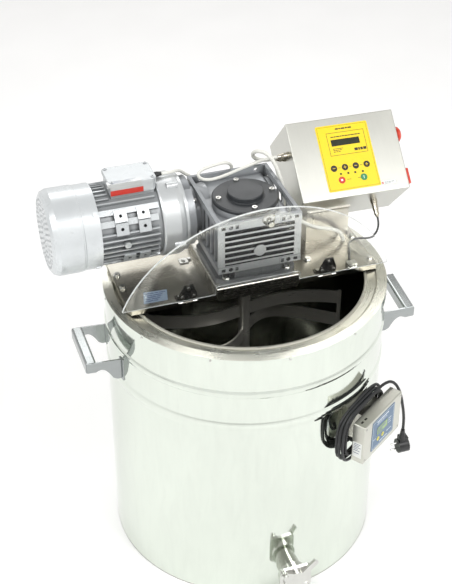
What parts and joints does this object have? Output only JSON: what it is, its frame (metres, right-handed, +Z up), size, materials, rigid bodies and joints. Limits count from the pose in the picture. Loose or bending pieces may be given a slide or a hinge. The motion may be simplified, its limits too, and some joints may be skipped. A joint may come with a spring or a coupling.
{
  "type": "honey creaming machine",
  "caption": "Heated double-walled honey drum with bridge-mounted worm-gear motor, stirrer, clear hinged half lid, tilted control console and heater controller.",
  "frame": {"origin": "centre of the drum's flat underside, on the floor", "axes": "+Z up along the drum axis; -Y towards the open half of the drum, the lid and the outlet; +X towards the control console, motor on -X"},
  "size_m": [0.9319, 0.7776, 1.0712],
  "materials": {
    "jacket_steel": "mirror polished",
    "tank_steel": "satin",
    "rim_steel": "brushed",
    "sheet_steel": "polished sheet",
    "console_steel": "ground",
    "chrome": "polished",
    "screw_steel": "bright zinc",
    "cast_grey": "die cast, painted",
    "motor_paint": "silver grey paint",
    "cover_black": "semi matte",
    "steel_shaft": "ground",
    "lamination": "varnished",
    "bronze": "machined",
    "fan_plastic": "moulded",
    "black_plastic": "moulded",
    "yellow_film": "printed film",
    "blue_film": "printed film",
    "key_black": "film",
    "key_red": "film",
    "key_green": "film",
    "key_yellow": "film",
    "red_plastic": "moulded",
    "yellow_plastic": "moulded",
    "clear_sheet": "clear",
    "grey_cable": "pvc",
    "black_cable": "rubber",
    "insulation": "felt",
    "silicone": "silicone",
    "nickel": "nickel plated"
  },
  "bodies": {
    "drum": {"outer_jacket": "jacket_steel", "base_plate": "tank_steel", "inner_tank": "tank_steel", "rim_ring": "rim_steel", "pan_head_screws": "screw_steel", "insulation_blanket": "insulation", "heating_band": "silicone", "carry_handles": "sheet_steel", "gate_body": "black_plastic", "bridge_plate": "sheet_steel", "rear_cover": "sheet_steel", "bridge_bolts": "screw_steel", "gearbox_pedestal": "sheet_steel", "output_flange": "cast_grey", "gearbox_housing": "cast_grey", "gearbox_cover": "cover_black", "gearbox_bolts": "screw_steel", "shaft_bearings": "steel_shaft", "motor_end_shield": "motor_paint", "motor_housing": "motor_paint", "fan_cowl": "motor_paint", "motor_stator": "lamination", "terminal_box": "motor_paint", "terminal_box_lid": "motor_paint", "lid_hinge_base": "chrome", "lid_sensor": "black_plastic", "console_housing": "console_steel", "membrane_panel": "yellow_film", "switch_plates": "yellow_plastic", "console_bracket": "sheet_steel", "cable_glands": "nickel", "motor_cable": "grey_cable", "console_cable": "grey_cable", "sensor_lead": "black_cable", "controller_box": "console_steel", "controller_panel": "blue_film", "cord_wrap_bracket": "sheet_steel", "mains_cord_coil": "black_cable", "mains_cord": "black_cable", "mains_plug": "black_plastic"},
    "rotor": {"motor_rotor": "steel_shaft", "worm_shaft": "steel_shaft", "cooling_fan": "fan_plastic"},
    "stirrer": {"worm_wheel": "bronze", "output_shaft": "steel_shaft", "stirrer": "tank_steel"},
    "lid": {"front_lid": "clear_sheet", "lid_hinge_leaves": "chrome", "lid_knob": "chrome"},
    "gate_blade": {"gate_blade": "screw_steel"},
    "estop_button": {"estop_button": "red_plastic"},
    "main_switch_knob": {"main_switch_knob": "red_plastic"},
    "key_1": {"key_1": "key_black"},
    "key_2": {"key_2": "key_black"},
    "key_3": {"key_3": "key_black"},
    "key_4": {"key_4": "key_black"},
    "key_stop": {"key_stop": "key_red"},
    "key_start": {"key_start": "key_green"},
    "controller_key_1": {"controller_key_1": "key_yellow"},
    "controller_key_2": {"controller_key_2": "key_yellow"}
  },
  "joints": [
    {"name": "rotor_spin", "type": "hinge", "parent": "drum", "child": "rotor", "pos_m": [-0.3, 0.09, 0.917], "axis": [1, 0, 0], "continuous": true},
    {"name": "stirrer_spin", "type": "hinge", "parent": "drum", "child": "stirrer", "pos_m": [0, 0, 0.76], "axis": [0, 0, 1], "continuous": true},
    {"name": "lid_hinge", "type": "hinge", "parent": "drum", "child": "lid", "pos_m": [0, -0.097, 0.779], "axis": [-1, 0, 0], "range_deg": [-82, 0]},
    {"name": "gate_pivot", "type": "hinge", "parent": "drum", "child": "gate_blade", "pos_m": [-0.031, -0.411, 0.119], "axis": [0, -1, 0], "range_deg": [0, 95]},
    {"name": "estop_press", "type": "slide", "parent": "drum", "child": "estop_button", "axis": [-0.9994, 0.0349, 0], "range_m": [0, 0.004], "stiffness_N_per_m": 2500, "springref_m": -0.002},
    {"name": "main_switch_turn", "type": "hinge", "parent": "drum", "child": "main_switch_knob", "pos_m": [0.44151, 0.05261, 0.924], "axis": [0.9994, -0.0349, 0], "range_deg": [0, 90]},
    {"name": "key_1_press", "type": "slide", "parent": "drum", "child": "key_1", "axis": [0.024, 0.6867, -0.7266], "range_m": [0, 0.0005], "stiffness_N_per_m": 3000, "springref_m": -0.0005},
    {"name": "key_2_press", "type": "slide", "parent": "drum", "child": "key_2", "axis": [0.024, 0.6867, -0.7266], "range_m": [0, 0.0005], "stiffness_N_per_m": 3000, "springref_m": -0.0005},
    {"name": "key_3_press", "type": "slide", "parent": "drum", "child": "key_3", "axis": [0.024, 0.6867, -0.7266], "range_m": [0, 0.0005], "stiffness_N_per_m": 3000, "springref_m": -0.0005},
    {"name": "key_4_press", "type": "slide", "parent": "drum", "child": "key_4", "axis": [0.024, 0.6867, -0.7266], "range_m": [0, 0.0005], "stiffness_N_per_m": 3000, "springref_m": -0.0005},
    {"name": "key_stop_press", "type": "slide", "parent": "drum", "child": "key_stop", "axis": [0.024, 0.6867, -0.7266], "range_m": [0, 0.0005], "stiffness_N_per_m": 3000, "springref_m": -0.0005},
    {"name": "key_start_press", "type": "slide", "parent": "drum", "child": "key_start", "axis": [0.024, 0.6867, -0.7266], "range_m": [0, 0.0005], "stiffness_N_per_m": 3000, "springref_m": -0.0005},
    {"name": "controller_key_1_press", "type": "slide", "parent": "drum", "child": "controller_key_1", "axis": [-0.5764, 0.8171, 0], "range_m": [0, 0.0005], "stiffness_N_per_m": 3000, "springref_m": -0.0005},
    {"name": "controller_key_2_press", "type": "slide", "parent": "drum", "child": "controller_key_2", "axis": [-0.5764, 0.8171, 0], "range_m": [0, 0.0005], "stiffness_N_per_m": 3000, "springref_m": -0.0005}
  ],
  "couplings": [
    {"joint": "stirrer_spin", "follows": "rotor_spin", "ratio": 0.02}
  ]
}
